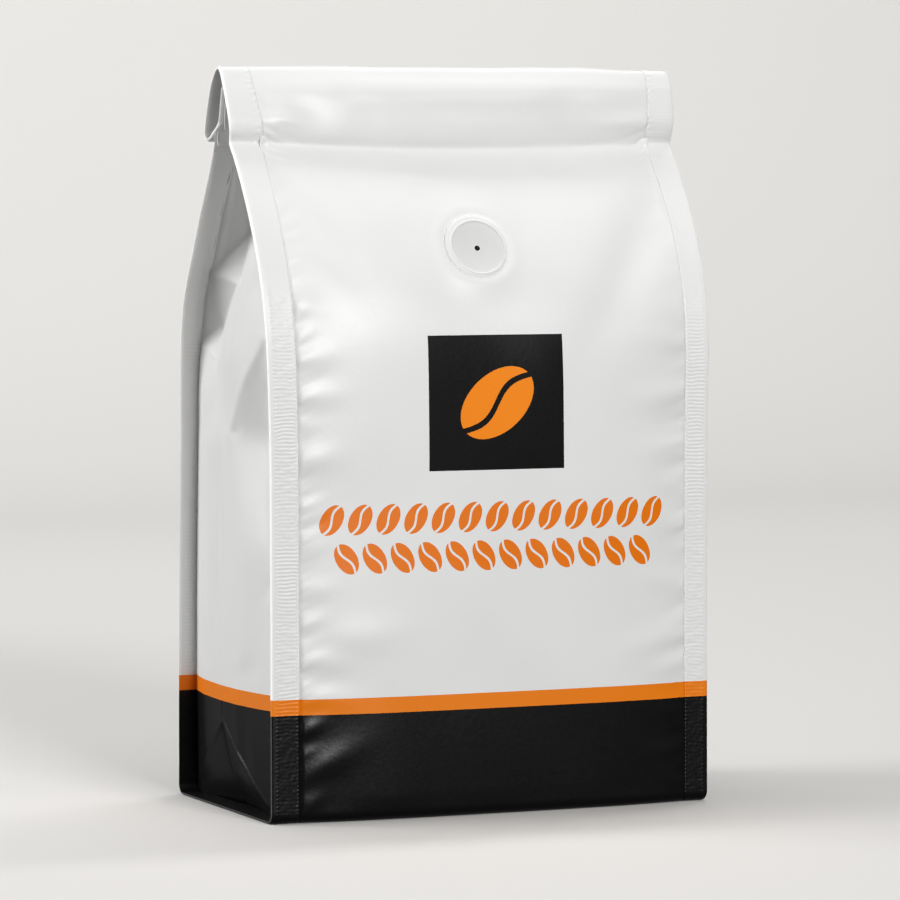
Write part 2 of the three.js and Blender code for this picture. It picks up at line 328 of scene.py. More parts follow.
def frontRelief(u, v):
    points, reach, inner = frontPlace(u, v)
    x, y, z = points.T
    gap = inner - np.abs(x)  # distance in from the seal's inner line
    side = np.sign(x)
    onFace = smoothStep(frontCrease - 2, frontCrease + 6, reach)
    low = 1 - smoothStep(frontFoot - 9, frontFoot - 1, reach)  # calm where the panel turns under
    climb = z - gap * np.where(side < 0, 0.55, -0.25) + 5.0 * waves(0, z / 19, side * 3)
    fade = np.exp(-(np.maximum(gap, 0) / 5.0) ** 1.6)
    strength = 0.08 + 0.07 * waves(1, z / 17, side * 5)
    relief = strength * fade * np.sin(2 * math.pi * climb / front["puckerPitch"]) * onFace * low
    fine = np.exp(-(np.maximum(gap, 0) / 2.6) ** 2) * (0.6 + 0.6 * waves(10, z / 7, side * 2))
    fine *= np.sin(2 * math.pi * climb / front["finePitch"])
    relief += front["finePucker"] * fine * onFace * low
    relief += front["folds"] * sum(fold(x, z, row) for row in frontFolds) * onFace * low
    relief += front["broadWave"] * waves(2, x / 34 + 7, z / 46) * low * smoothStep(0, 14, gap)
    relief += front["smallWave"] * waves(3, x / 15 + z / 40, z / 21) * low * smoothStep(0, 8, gap)
    relief *= smoothStep(-0.3, 1.1, gap)
    above = (z - valve["z"]) / math.cos(valve["tilt"])
    away = np.hypot(x - valve["x"] - valve["shift"][0], above - valve["shift"][1])
    relief *= smoothStep(10, 17, away)
    relief += valve["ring"] * np.exp(-((away - valve["ringRadius"]) / 1.5) ** 2)
    # the stiff plate holds the film flat round it
    relief += valve["flattening"] * above ** 2 * (1 - smoothStep(9.5, 20, away))
    relief -= valve["seat"] * (1 - smoothStep(8.7, 9.9, away))
    # puckers where the seals turn up into the roll
    pucker = np.exp(-((reach - frontCrease) / 5.5) ** 2) * np.exp(-(np.maximum(gap, 0) / 6) ** 1.4)
    phase = 2 * math.pi * (reach - 0.45 * gap) / front["turnPitch"] + 2.0 * waves(9, gap / 5, side * 4)
    relief += front["turnPucker"] * smoothStep(-0.4, 1.2, gap) * pucker * np.sin(phase)
    onRoll = (1 - smoothStep(frontCrease - 5, frontCrease - 1, reach)) * (y < wrap["rollFront"])
    relief += onRoll * sum(fold(x, z, row) for row in rollFolds) * (1 - smoothStep(201, 207, z))
    soft = front["rollWave"] * waves(4, x / 13, reach / 11) * smoothStep(0, 10, gap)
    relief += onRoll * soft * (1 - smoothStep(202, 208, z))
    return relief - sealLine(gap)


def makePanel(name, size, place, relief):
    return thicken(makeSheet(name, size["columns"], size["rows"], lambda u, v: relieved(
        lambda a, b: place(a, b)[0], relief, u, v)))


frontPanel = makePanel("front_panel", front, frontPlace, frontRelief)
print("front panel", len(frontPanel.data.polygons))

# The back panel, from the middle of the bottom up into the roll.
back = {"columns": 110, "rows": 240, "puckerPitch": 9.6, "broadWave": 0.6, "smallWave": 0.22}


def backPlace(u, v):
    reach = middle + (wrapEnd - middle - wrap["margin"]) * v
    y, z, _, _ = wrapAt(reach)
    inner = sealTip(z) - sealWidth(reach, z, 1)
    x, share = acrossPanel(1 - 2 * u, inner)
    under = np.clip((reach - middle) / (backFoot - middle), 0, 1)
    y = y + backBulge(z) * share * under * (1 - smoothStep(180, 188, z))
    return np.stack([x, y, z], 1), reach, inner


def backRelief(u, v):
    points, reach, inner = backPlace(u, v)
    x, _, z = points.T
    gap = inner - np.abs(x)
    side = np.sign(x)
    up = smoothStep(backFoot - 2, backFoot + 4, reach) * (1 - smoothStep(wrapEnd - 26, wrapEnd - 20, reach))
    climb = z - gap * 0.5 * side + 3.0 * waves(5, z / 23, side * 3)
    fade = np.exp(-(np.maximum(gap, 0) / 8.5) ** 1.6)
    strength = 0.24 + 0.12 * waves(6, z / 17, side * 5)
    relief = strength * fade * np.sin(2 * math.pi * climb / back["puckerPitch"])
    relief += back["broadWave"] * waves(7, x / 34, z / 46) * smoothStep(0, 14, gap)
    relief += back["smallWave"] * waves(8, x / 15 - z / 40, z / 21) * smoothStep(0, 8, gap)
    return relief * up - sealLine(gap)


backPanel = makePanel("back_panel", back, backPlace, backRelief)
print("back panel", len(backPanel.data.polygons))

# A welded side seal: one flat strip right round the pouch, crimped, with a rounded cut edge. First its
# rows, the corners of its cross-section and its sizes, then the pitches and heights of its relief.
seal = {
    # the pair of row shares after the tuck bounds the painted highlight on the cut edge
    "rows": 1700, "outer": 26, "tip": 7, "inner": 17, "round": 0.95, "tuck": 2.3, "highlightRows": (0.022, 0.963),
    "ribPitch": 1.05, "rib": 0.065, "grain": 0.055, "dotPitch": 1.1, "tipDots": 0.14, "innerDots": 0.13,
    "knurl": 0.24, "tickPitch": 1.9, "tick": 0.08, "blackFlat": 0.72,
}


# Corners of the strip's cross-section: share of its width from the inner line, and depth.
def sealSection():
    spread = [np.linspace(0, 0.17, 7), np.linspace(0.21, 0.78, seal["outer"] - 13), np.linspace(0.82, 1, 6)]
    outer = [(w, 0.0) for w in np.concatenate(spread)]
    turn = np.linspace(0, math.pi / 2, seal["tip"])[1:]
    tip = [(1.0 + seal["round"] * math.sin(a), sealThickness - sealThickness * math.cos(a)) for a in turn]
    corner = [(0.94 + seal["round"], sealThickness)]
    inner = [(w, sealThickness) for w in np.linspace(1, 0, seal["inner"])]
    return np.array(outer + tip + corner + inner + [(0.0, 0.0)])


section = sealSection()


def makeSeal(name, side):
    def place(u, v):
        column = np.rint(u * (len(section) - 1)).astype(int)
        w, depth = section[column].T
        stops = [filmThickness, frontFoot, backFoot, wrapEnd - filmThickness]
        reach = np.interp(v, [0, 0.55, 0.60, 1], stops)
        y, z, outY, outZ = wrapAt(reach)
        width = sealWidth(reach, z, side)
        # the legs inside the roll are tucked in behind its outer edge
        tucked = smoothStep(wrapEnd - 14.5, wrapEnd - 11, reach) + 1 - smoothStep(11, 19, reach)
        tip = sealTip(z) - seal["tuck"] * tucked
        inset = np.minimum(w, 1) * (width - seal["round"])
        x = tip - width + inset + np.maximum(w - 1, 0)
        edge = width - inset
        black = 1 - smoothStep(29, 31, z)
        high = smoothStep(143, 152, z)
        ribs = np.sin(2 * math.pi * reach / seal["ribPitch"] + 1.2 * waves(0, inset / 2, reach / 6))
        ribbed = 0.45 + 0.55 * smoothStep(-0.25, 0.25, waves(1, reach / 13 + 3, side * 2.0))
        ribbed *= 1 - 0.7 * high
        grain = waves(2, inset / 1.6, reach / 0.75) + 0.6 * waves(3, inset / 0.8, reach / 0.6)
        inField = smoothStep(1.2, 2.0, edge) * smoothStep(0.3, 0.9, inset)
        pressed = seal["rib"] * ribs * ribbed
        pressed += seal["grain"] * grain * (1 - 0.6 * ribbed) * (1 - 0.75 * high)
        lift = inField * pressed * (1 - seal["blackFlat"] * black)
        creased = waves(4, inset / 0.7 + reach / 1.9, reach / 0.8 - inset / 1.7)
        lift += inField * black * (0.012 * grain + 0.028 * creased)
        dots = np.maximum(np.cos(2 * math.pi * reach / seal["dotPitch"]), 0) ** 2
        lift += seal["tipDots"] * dots * np.exp(-((edge - 1.75) / 0.3) ** 2) * (1 - 0.8 * high)
        lift += seal["innerDots"] * dots * np.exp(-((inset - 0.5) / 0.28) ** 2)
        # puckers on the roll, then a fine groove along each side
        rolled = smoothStep(188, 191, z) * (y < wrap["rollFront"])
        ticks = np.sin(2 * math.pi * reach / seal["tickPitch"] + 3 * waves(6, inset, reach / 5))
        lift += seal["tick"] * rolled * ticks * np.exp(-((inset - 0.3) / 1.5) ** 2)
        lift -= 0.14 * np.exp(-(inset / 0.16) ** 2)
        lift -= 0.05 * np.exp(-((edge - 0.85) / 0.2) ** 2)
        knurl = seal["knurl"] * dots * np.exp(-((inset - 1.6) / 0.42) ** 2) * (1 - smoothStep(165, 180, z))
        inner = np.where(w <= 1, -0.8 * inField * lift - knurl, 0)
        inward = depth - np.where(depth == 0, lift, inner)
        return np.stack([side * x, y - outY * inward, z - outZ * inward], 1)

    piece = makeSheet(name, len(section) - 1, seal["rows"], place)
    # how much painted highlight each corner takes: the weld's rounded cut edge, outside the roll, is painted
    # brighter as a painted highlight
    highlightLayer = piece.data.attributes.new("edge_highlight", "FLOAT", "POINT")
    edgeShine = np.tile(np.clip((section[:, 0] - 1.3) / 0.4, 0, 1), seal["rows"] + 1)
    row = np.repeat(np.linspace(0, 1, seal["rows"] + 1), len(section))
    start, stop = seal["highlightRows"]
    edgeShine *= (row > start) & (row < stop)
    highlightLayer.data.foreach_set("value", edgeShine)
    form = bmesh.new()
    form.from_mesh(piece.data)
    bmesh.ops.remove_doubles(form, verts=form.verts, dist=2e-6)
    bmesh.ops.holes_fill(form, edges=[e for e in form.edges if e.is_boundary], sides=0)
    bmesh.ops.recalc_face_normals(form, faces=form.faces)
    form.to_mesh(piece.data)
    form.free()
    return piece


seals = [makeSeal("seal_left", -1), makeSeal("seal_right", 1)]
print("seals", [len(s.data.polygons) for s in seals])

# The gussets: bulged by the beans, folded in above them.
gusset = {"columns": 130, "rows": 320, "centreGroove": 0.22, "welt": 0.38, "bead": 0.25}
# Each row is a corner of the creased surface: how far out it is, how far back, and how high.
gussetNodes = {
    "top": (34, -3.6, 187), "upper": (38, -4.0, 174.6), "pocket": (52.8, 13.4, 163),
    "backHigh": (62.0, 24.6, 151), "turn": (56.5, 15.0, 148), "valley": (56.3, 27.0, 135.4),
    "backLow": (61.2, 32.2, 130.5), "valleyLow": (61.0, 19.4, 127), "valleyFoot": (63.6, 8.5, 115.5),
    "apex": (65.4, -0.8, 107), "ridge": (66.3, -13.5, 121), "ridgeHead": (64.9, -26.5, 134.5),
    "dent": (59.4, -20, 106), "dentHigh": (61.6, -22.5, 118), "crestHigh": (57.2, 4.0, 160),
    "crest": (60.2, 5.5, 147), "crestFront": (62.7, -4.0, 147), "crestLow": (63.4, 7.5, 134),
    "brow": (60.6, -16, 152),
}
gussetCreases = [
    ("top", "upper"), ("upper", "pocket"), ("pocket", "backHigh"), ("pocket", "turn"), ("backHigh", "turn"),
    ("turn", "valley"), ("valley", "backLow"), ("valley", "valleyLow"), ("apex", "ridge"),
    ("ridge", "ridgeHead"),
]
# The table that the folds are read from, and how often it is softened at the creases and between them.
gussetTable = {"across": 160, "up": 400, "span": 75, "calmBelow": 76.0, "crisp": 2, "soft": 70}
# The blocked foot: a flat fold turned in under an upside-down V that starts at this (y, z).
gussetFoot = {"y": 6.0, "z": 24.0, "frontFall": 0.80, "backFall": 0.71, "depth": 0.17}
# Dents, by middle (y, z), direction, half length, half width and how far in.
gussetFolds = [
    (-27, 66, -38, 9.0, 2.6, 0.40), (-30, 58, 24, 7.0, 2.2, -0.32), (-22, 84, 60, 12.0, 3.4, 0.25),
    (22, 60, 78, 20.0, 3.0, 0.28), (15, 92, 84, 14.0, 2.2, -0.22), (-12, 40, -20, 9.0, 3.0, 0.22),
]


def gussetFront(z):
    return -frontSeal(z) + sealThickness * 0.5 + np.maximum(footRadius - z, 0) * 0.4


def gussetBack(z):
    return backSeal(z) - sealThickness * 0.5 - np.maximum(footRadius - z, 0) * 0.4


def gussetOut(share, z, side=-1):
    base = frontSealWidth(z, side) * (1 - share) + backSealWidth * share
    bulge = gussetBulge(z) * np.sin(math.pi * np.clip(share, 0, 1)) ** 0.8
    return sealTip(z) - base + sealThickness + bulge


def softened(table, times):
    table = table.copy()
    for _ in range(times):
        table[:, 1:-1] = (table[:, :-2] + 2 * table[:, 1:-1] + table[:, 2:]) / 4
        table[1:-1] = (table[:-2] + 2 * table[1:-1] + table[2:]) / 4
    return table


# How far the folds move each spot of the gusset out: the corners' moves over a mesh of triangles.
def foldTable():
    span = gussetTable["span"]
    names = list(gussetNodes)
    links = [(names.index(a), names.index(b)) for a, b in gussetCreases]
    spots, offsets = [], []
    for out, y, z in gussetNodes.values():
        share = (y - gussetFront(z)) / (gussetBack(z) - gussetFront(z))
        spots.append((share * span, z))
        offsets.append(float(out - gussetOut(share, z)))
    edge = [(y, float(z)) for z in np.linspace(0, creaseHeight, 12) for y in (-0.01, span + 0.01)]
    edge += [(y, z) for y in np.linspace(8, span - 8, 8) for z in (0.0, gussetTable["calmBelow"])]
    spots += edge
    offsets += [0.0] * len(edge)
    flat, _, faces, _, _, _ = geometry.delaunay_2d_cdt([Vector(s) for s in spots], links, [], 0, 1e-5)
    flat = np.array([tuple(p) for p in flat])
    nearest = np.argmin(((flat[:, None] - np.array(spots)[None]) ** 2).sum(2), 1)
    offset = np.array(offsets)[nearest]
    across, z = np.meshgrid(np.linspace(0, span, gussetTable["across"] + 1),
                            np.linspace(0, creaseHeight, gussetTable["up"] + 1))
    table = np.zeros_like(across)
    for corners in faces:
        (ay, az), (by, bz), (cy, cz) = flat[list(corners)]
        area = (bz - cz) * (ay - cy) + (cy - by) * (az - cz)
        if abs(area) < 1e-9:
            continue
        p = ((bz - cz) * (across - cy) + (cy - by) * (z - cz)) / area
        q = ((cz - az) * (across - cy) + (ay - cy) * (z - cz)) / area
        inside = (p >= -1e-6) & (q >= -1e-6) & (p + q <= 1 + 1e-6)
        a, b, c = offset[list(corners)]
        table[inside] = (p * a + q * b + (1 - p - q) * c)[inside]
    near = np.full_like(across, 99.0)  # distance to the nearest crease
    for a, b in links:
        start, line = np.array(spots[a]), np.array(spots[b]) - np.array(spots[a])
        t = np.clip(((across - start[0]) * line[0] + (z - start[1]) * line[1]) / (line @ line), 0, 1)
        near = np.minimum(near, np.hypot(across - start[0] - t * line[0], z - start[1] - t * line[1]))
    crisp = softened(table, gussetTable["crisp"])
    soft = softened(table, gussetTable["soft"])
    return crisp + (soft - crisp) * smoothStep(1.0, 6.0, near)


folds = foldTable()


def foldAt(share, z):
    i = np.clip(z / creaseHeight, 0, 1) * gussetTable["up"]
    j = np.clip(share, 0, 1) * gussetTable["across"]
    a = np.minimum(i.astype(int), gussetTable["up"] - 1)
    b = np.minimum(j.astype(int), gussetTable["across"] - 1)
    p, q = i - a, j - b
    return ((folds[a, b] * (1 - q) + folds[a, b + 1] * q) * (1 - p)
            + (folds[a + 1, b] * (1 - q) + folds[a + 1, b + 1] * q) * p)


def makeGusset(name, side):
    def place(u, v):
        share = u if side < 0 else 1 - u
        z = ledgeTop - 0.4 + (creaseHeight + 3 - ledgeTop) * v
        y = gussetFront(z) * (1 - share) + gussetBack(z) * share
        out = gussetOut(share, z, side) + foldAt(share, z)
        return np.stack([side * out, y, z], 1)

    def relief(u, v):  # how far in
        _, y, z = place(u, v).T
        share = (y - gussetFront(z)) / (gussetBack(z) - gussetFront(z))
        inField = np.sin(math.pi * np.clip(share, 0, 1)) ** 0.5
        soft = 0.42 * waves(5, y / 8, z / 46 + side) + 0.16 * waves(6, y / 5, z / 19)
        groove = gusset["centreGroove"] * np.exp(-((y - gussetFoot["y"]) / 0.7) ** 2)
        groove *= 1 - smoothStep(85, 112, z)
        fall = np.where(y > gussetFoot["y"], gussetFoot["backFall"], gussetFoot["frontFall"])
        under = gussetFoot["z"] - fall * np.abs(y - gussetFoot["y"]) - z
        hollow = gussetFoot["depth"] * (under + np.sqrt(under ** 2 + 0.12)) / 2 * inField ** 0.5
        welt = gusset["welt"] * np.exp(-((under + 0.6) / 0.75) ** 2) * inField * smoothStep(1, 4, z)
        bead = gusset["bead"] * np.exp(-(((1 - share) * 70 - 1.3) / 0.5) ** 2) * smoothStep(20, 30, z)
        dents = inField * sum(fold(y, z, row) for row in gussetFolds)
        return inField * soft * smoothStep(2, 20, z) + groove + hollow + dents - welt - bead

    piece = makeSheet(name, gusset["columns"], gusset["rows"], lambda u, v: relieved(place, relief, u, v))
    form = bmesh.new()
    form.from_mesh(piece.data)
    if sum(face.normal.x for face in form.faces) * side < 0:
        bmesh.ops.reverse_faces(form, faces=form.faces)
    form.to_mesh(piece.data)
    form.free()
    return thicken(piece)


gussets = [makeGusset("gusset_left", -1), makeGusset("gusset_right", 1)]
print("gussets", [len(g.data.polygons) for g in gussets])

# What fills the roll's ends: the gusset film squeezed between the legs (the web) with its turned-in
# lip, and the folded edges in the flap (the filler), each with the height it starts at and its own height.
rollEnd = {
    "web": (186.6, 18.2), "webOut": 53.5, "webFoot": 9.0, "filler": (188.9, 15.6), "fillerOut": 55.0,
    "lip": (187.0, 17.5), "lipWidth": 8.6, "lipTop": 191.0, "lipFilm": 0.35, "depth": 2.5,
    "lipGrid": (12, 90), "blockGrid": (24, 60),
}
# Each row is a height and a distance back.
legFront = rowCurve([[186.4, -9.9], [190, -9.6], [194, -9.6], [198.5, -8.8], [203, -7.2], [206, -5.5]])
legMiddle = rowCurve([
    [186.4, 3.0], [190, 2.1], [193.5, 1.2], [197, 0.3], [201, -1.2], [204.5, -2.8], [208, -4.2],
])
flapIn = rowCurve([[188.6, 9.2], [191.4, 9.5], [195.6, 7.3], [200.3, 4.6], [204, 2.3], [207.4, -0.8]])
flapBack = rowCurve([
    [188.6, 7.3], [190.2, 6.5], [192.2, 4.9], [194.4, 3.2], [197, 1.2], [201, -0.4], [204.5, -2.0],
    [207.4, -3.6],
])


def makeRollEnd(side, end):
    def web(u, v):
        z = rollEnd["web"][0] + rollEnd["web"][1] * v
        y = legFront(z) * (1 - u) + legMiddle(z) * u
        pleat = 0.5 * waves(7, u * 4.5, z / 30) + 0.25 * waves(8, u * 9, z / 20)
        out = rollEnd["webOut"] + rollEnd["webFoot"] * (1 - smoothStep(188.0, 198.0, z))
        out += pleat * smoothStep(0, 0.12, u) * smoothStep(0, 0.12, 1 - u)
        return np.stack([side * out, y, z], 1)

    def filler(u, v):
        z = rollEnd["filler"][0] + rollEnd["filler"][1] * v
        y = flapBack(z) * (1 - u) + flapIn(z) * u
        out = rollEnd["fillerOut"] + 0.35 * np.sin(math.pi * u) + 0.3 * waves(9, u * 5, z / 14)
        return np.stack([side * out, y, z], 1)

    def lip(u, v):
        z = rollEnd["lip"][0] + rollEnd["lip"][1] * v
        low = 1 - smoothStep(rollEnd["lipTop"] - 0.3, rollEnd["lipTop"] + 0.4, z)
        curl = np.exp(-((z - 187.3) / 0.5) ** 2)
        out = sealTip(z) - 0.35 - seal["tuck"] * (1 - low) - rollEnd["lipWidth"] * (1 - u)
        y = legMiddle(z) - sealThickness - 0.12 - 0.35 * low - 0.5 * curl
        return np.stack([side * out, y, z], 1)

    pieces = [thicken(makeSheet("roll_lip_" + end, *rollEnd["lipGrid"], lip), rollEnd["lipFilm"])]
    for kind, place in (("roll_web_", web), ("roll_filler_", filler)):
        pieces.append(deepen(makeSheet(kind + end, *rollEnd["blockGrid"], place), -rollEnd["depth"] * side))
    return pieces


rollEnds = makeRollEnd(-1, "left") + makeRollEnd(1, "right")
print("roll ends", len(rollEnds))

# The valve: a thin dished plate with a raised rim and a pinhole, as rows of a radius and a height.
valve["profile"] = [
    (0.0, -0.46), (0.68, -0.45), (0.74, -0.3), (0.84, -0.2), (1.05, -0.17), (1.35, -0.24), (2.2, -0.28),
    (3.4, -0.24), (4.6, -0.14), (5.6, -0.02), (6.6, 0.12), (7.4, 0.24), (7.72, 0.3), (7.84, 0.42),
    (7.96, 0.62), (8.1, 0.66), (8.3, 0.6), (8.5, 0.46), (8.62, 0.38), (8.78, 0.42), (9.0, 0.38), (9.2, 0.26),
    (9.4, 0.14), (9.5, 0.02), (9.55, -0.25), (9.3, -1.1), (0.0, -1.1),
]


def makeValve():
    form = bmesh.new()
    line = [form.verts.new((r * mm, 0, h * mm)) for r, h in valve["profile"]]
    edges = [form.edges.new(pair) for pair in zip(line, line[1:])]
    bmesh.ops.spin(form, geom=line + edges, cent=(0, 0, 0), axis=(0, 0, 1), angle=2 * math.pi, steps=128,
                   use_merge=True, use_duplicate=False)
    bmesh.ops.remove_doubles(form, verts=form.verts, dist=1e-6)
    bmesh.ops.recalc_face_normals(form, faces=form.faces)
    for vert in form.verts:  # the plate sits a little low and to the right in its rim
        share = float(smoothStep(8.0, 9.4, math.hypot(vert.co.x, vert.co.y) / mm))
        vert.co.x += valve["shift"][0] * share * mm
        vert.co.y += valve["shift"][1] * share * mm
    facing = Matrix.Rotation(math.pi / 2 - valve["tilt"], 4, "X")
    bmesh.ops.transform(form, matrix=facing, verts=form.verts)
    bmesh.ops.translate(form, vec=[valve[k] * mm for k in "xyz"], verts=form.verts)
    return makeObject("valve", form)


valvePiece = makeValve()
print("valve", len(valvePiece.data.polygons))


# sRGB hex to linear colour.
def colour(code):
    parts = [int(code[i:i + 2], 16) / 255 for i in (1, 3, 5)]
    return (*[c / 12.92 if c <= 0.04045 else ((c + 0.055) / 1.055) ** 2.4 for c in parts], 1)


def newMaterial(name):
    material = bpy.data.materials.new(name)
    material.use_nodes = True
    return material, material.node_tree, material.node_tree.nodes["Principled BSDF"]


# A node with its inputs, by place or by name, and its settings. It gives back one of its outputs.
def add(tree, kind, inputs=(), output=0, **settings):
    node = tree.nodes.new("ShaderNode" + kind)
    for key, value in settings.items():
        setattr(node, key, value)
    for key, value in inputs.items() if isinstance(inputs, dict) else enumerate(inputs):
        if hasattr(value, "is_output"):
            tree.links.new(value, node.inputs[key])
        else:
            node.inputs[key].default_value = value
    return node.outputs[output]


def between(tree, value, low, high):
    above = add(tree, "Math", (value, low), operation="GREATER_THAN")
    below = add(tree, "Math", (value, high), operation="LESS_THAN")
    return add(tree, "Math", (above, below), operation="MULTIPLY")


# Lays colours over each other, each where its mask is.
def layered(tree, tone, layers):
    for mask, code in layers:
        tone = add(tree, "Mix", {0: mask, 6: tone, 7: colour(code)}, output=2, data_type="RGBA")
    return tone


# The print on the front: a bean on a dark square over two rows of small beans, and the band and foot
# that go right round. A square is left, right, low and high; a row is its height, its start, how many
# beans and their tilt. A bean is half its length, half its width and half the gap between its halves.
artwork = {
    "square": (-21.4, 19.5, 96.9, 134.5), "badgeAt": (-0.75, 115.6), "badgeTilt": 38,
    "badge": (12.6, 8.2, 0.85), "upperRow": (83.9, -53.7, 13, 58), "lowerRow": (73.1, -49.6, 12, 122),
    "pitch": 8.1, "bean": (4.6, 3.0, 0.34), "swing": 0.22, "band": (30.2, 34.6), "front": -20.0,
}


# An oval, halved by a slightly curved line.
def bean(tree, x, z, tilt, size):
    long, wide, slit = size
    c, s = math.cos(math.radians(tilt)), math.sin(math.radians(tilt))
    pairs = (x, c), (z, s), (z, c), (x, s)
    xc, zs, zc, xs = (add(tree, "Math", pair, operation="MULTIPLY") for pair in pairs)
    along = add(tree, "Math", (xc, zs), operation="ADD")
    across = add(tree, "Math", (zc, xs), operation="SUBTRACT")
    squares = []
    for way, reach in ((along, long), (across, wide)):
        part = add(tree, "Math", (way,), operation="ABSOLUTE")
        part = add(tree, "Math", (part, reach), operation="DIVIDE")
        squares.append(add(tree, "Math", (part, 2.0), operation="POWER"))
    oval = add(tree, "Math", squares, operation="ADD")
    oval = add(tree, "Math", (oval, 1.0), operation="LESS_THAN")
    swing = add(tree, "Math", (along, math.pi / long), operation="MULTIPLY")
    swing = add(tree, "Math", (swing,), operation="SINE")
    swing = add(tree, "Math", (swing, wide * artwork["swing"]), operation="MULTIPLY")
    beside = add(tree, "Math", (across, swing), operation="SUBTRACT")
    beside = add(tree, "Math", (beside,), operation="ABSOLUTE")
    halves = add(tree, "Math", (beside, slit), operation="GREATER_THAN")
    return add(tree, "Math", (oval, halves), operation="MULTIPLY")


def beanRow(tree, x, z, level, start, count, tilt):
    pitch = artwork["pitch"]
    local = add(tree, "Math", (x, start), operation="SUBTRACT")
    cell = add(tree, "Math", (local, pitch), operation="DIVIDE")
    cell = add(tree, "Math", (cell,), operation="FLOOR")
    cell = add(tree, "Math", (cell, pitch), operation="MULTIPLY")
    offset = add(tree, "Math", (local, cell), operation="SUBTRACT")
    offset = add(tree, "Math", (offset, pitch / 2), operation="SUBTRACT")
    height = add(tree, "Math", (z, level), operation="SUBTRACT")
    beans = bean(tree, offset, height, tilt, artwork["bean"])
    return add(tree, "Math", (beans, between(tree, local, 0.0, count * pitch)), operation="MULTIPLY")


# Coated film, printed: a satin, slightly mottled white that lets the folds read, with inks that are a little
# less shiny. Along the weld's rounded cut edge a painted highlight is laid as a bright thin line, and in the
# black foot a grey line where the unprinted edge also carries a painted highlight.
# Mottle and grain are widths in millimetres; the real grain is finer and is drawn this coarse to show.
film = {
    # the two cut edge colours are painted highlights: bright on the white film, grey in the black foot
    "white": "#e7e7e6", "mottled": "#e4e4e3", "edgeHighlight": "#ffffff", "black": "#0f0f0f",
    "blackEdgeHighlight": "#4a4a4a", "band": "#eb7e10", "badge": "#f88b1c", "beans": "#e97600",
    "mottle": 26.3, "grain": 1.111, "grainDepth": 0.12, "roughness": 0.42, "blackRoughness": 0.33,
    "shine": 0.5, "inkShine": 0.34, "squareDuller": 0.2, "mottleEnds": (0.3, 0.7), "uneven": 0.1,
    "grainStrength": 0.25, "blackHighlightFrom": 0.97,
}


def printedFilm():
    material, tree, shader = newMaterial("printed_laminate_film")
    place = add(tree, "TexCoord", output="Object")
    ways = add(tree, "SeparateXYZ", (place,)).node.outputs
    x, y, z = (add(tree, "Math", (way, 1 / mm), operation="MULTIPLY") for way in ways)
    onFront = add(tree, "Math", (y, artwork["front"]), operation="LESS_THAN")
    left, right, low, high = artwork["square"]
    sides = between(tree, x, left, right), between(tree, z, low, high)
    square = add(tree, "Math", sides, operation="MULTIPLY")
    moves = zip((x, z), artwork["badgeAt"])
    badgeX, badgeZ = (add(tree, "Math", move, operation="SUBTRACT") for move in moves)
    badge = bean(tree, badgeX, badgeZ, artwork["badgeTilt"], artwork["badge"])
    rows = [beanRow(tree, x, z, *artwork[name]) for name in ("upperRow", "lowerRow")]
    beans = add(tree, "Math", rows, operation="MAXIMUM")
    masks = square, badge, beans
    square, badge, beans = (add(tree, "Math", (mask, onFront), operation="MULTIPLY") for mask in masks)
    band = between(tree, z, *artwork["band"])
    foot = add(tree, "Math", (z, artwork["band"][0]), operation="LESS_THAN")
    # a painted highlight along the weld's rounded cut edge, and a grey painted highlight where it runs
    # through the black foot
    rim = add(tree, "Attribute", output="Fac", attribute_name="edge_highlight")
    footHighlight = add(tree, "Math", (rim, film["blackHighlightFrom"]), operation="GREATER_THAN")
    footHighlight = add(tree, "Math", (foot, footHighlight), operation="MULTIPLY")
    mottle = add(tree, "TexNoise", {"Vector": place, "Scale": 1 / (film["mottle"] * mm), "Detail": 3.0})
    start, stop = film["mottleEnds"]
    mottle = add(tree, "MapRange", {"Value": mottle, 1: start, 2: stop})
    # the cut edge layers here are painted highlights, not print
    tone = layered(tree, colour(film["white"]), [
        (mottle, film["mottled"]), (rim, film["edgeHighlight"]), (foot, film["black"]),
        (footHighlight, film["blackEdgeHighlight"]), (band, film["band"]), (square, film["black"]),
        (badge, film["badge"]), (beans, film["beans"]),
    ])
    tree.links.new(tone, shader.inputs["Base Color"])
    dark = add(tree, "Math", (foot, square), operation="MAXIMUM")
    grain = add(tree, "TexNoise", {"Vector": place, "Scale": 1 / (film["grain"] * mm), "Detail": 2.0})
    uneven = add(tree, "Math", (grain, 0.5), operation="SUBTRACT")
    uneven = add(tree, "Math", (uneven, film["uneven"]), operation="MULTIPLY")
    rough = add(tree, "MapRange", {"Value": dark, 3: film["roughness"], 4: film["blackRoughness"]})
    rough = add(tree, "Math", (rough, uneven), operation="ADD")
    tree.links.new(rough, shader.inputs["Roughness"])
    bump = {"Strength": film["grainStrength"], "Distance": film["grainDepth"] * mm, "Height": grain}
    tree.links.new(add(tree, "Bump", bump), shader.inputs["Normal"])
    inked = dark
    for mask in (band, badge, beans):
        inked = add(tree, "Math", (inked, mask), operation="MAXIMUM")
    shine = add(tree, "MapRange", {"Value": inked, 3: film["shine"], 4: film["inkShine"]})
    duller = add(tree, "Math", (square, film["squareDuller"]), operation="MULTIPLY")
    shine = add(tree, "Math", (shine, duller), operation="SUBTRACT")
    tree.links.new(shine, shader.inputs["Specular IOR Level"])
    return material


# Moulded polyethylene: a flat, dull plate in a whiter rim, the plate coloured darker as painted shade where
# it sits down inside the rim, and a pinhole painted black as painted shade. The speck is a width in
# millimetres, the rim the radii between which the plate turns into it.
valvePlastic = {
    "plate": "#d8d8d7", "rimTone": "#e4e4e3", "holeShade": "#050505", "rim": (7.5, 8.0), "speck": 2.38,
    "roughness": (0.40, 0.50), "shine": 0.25,
}


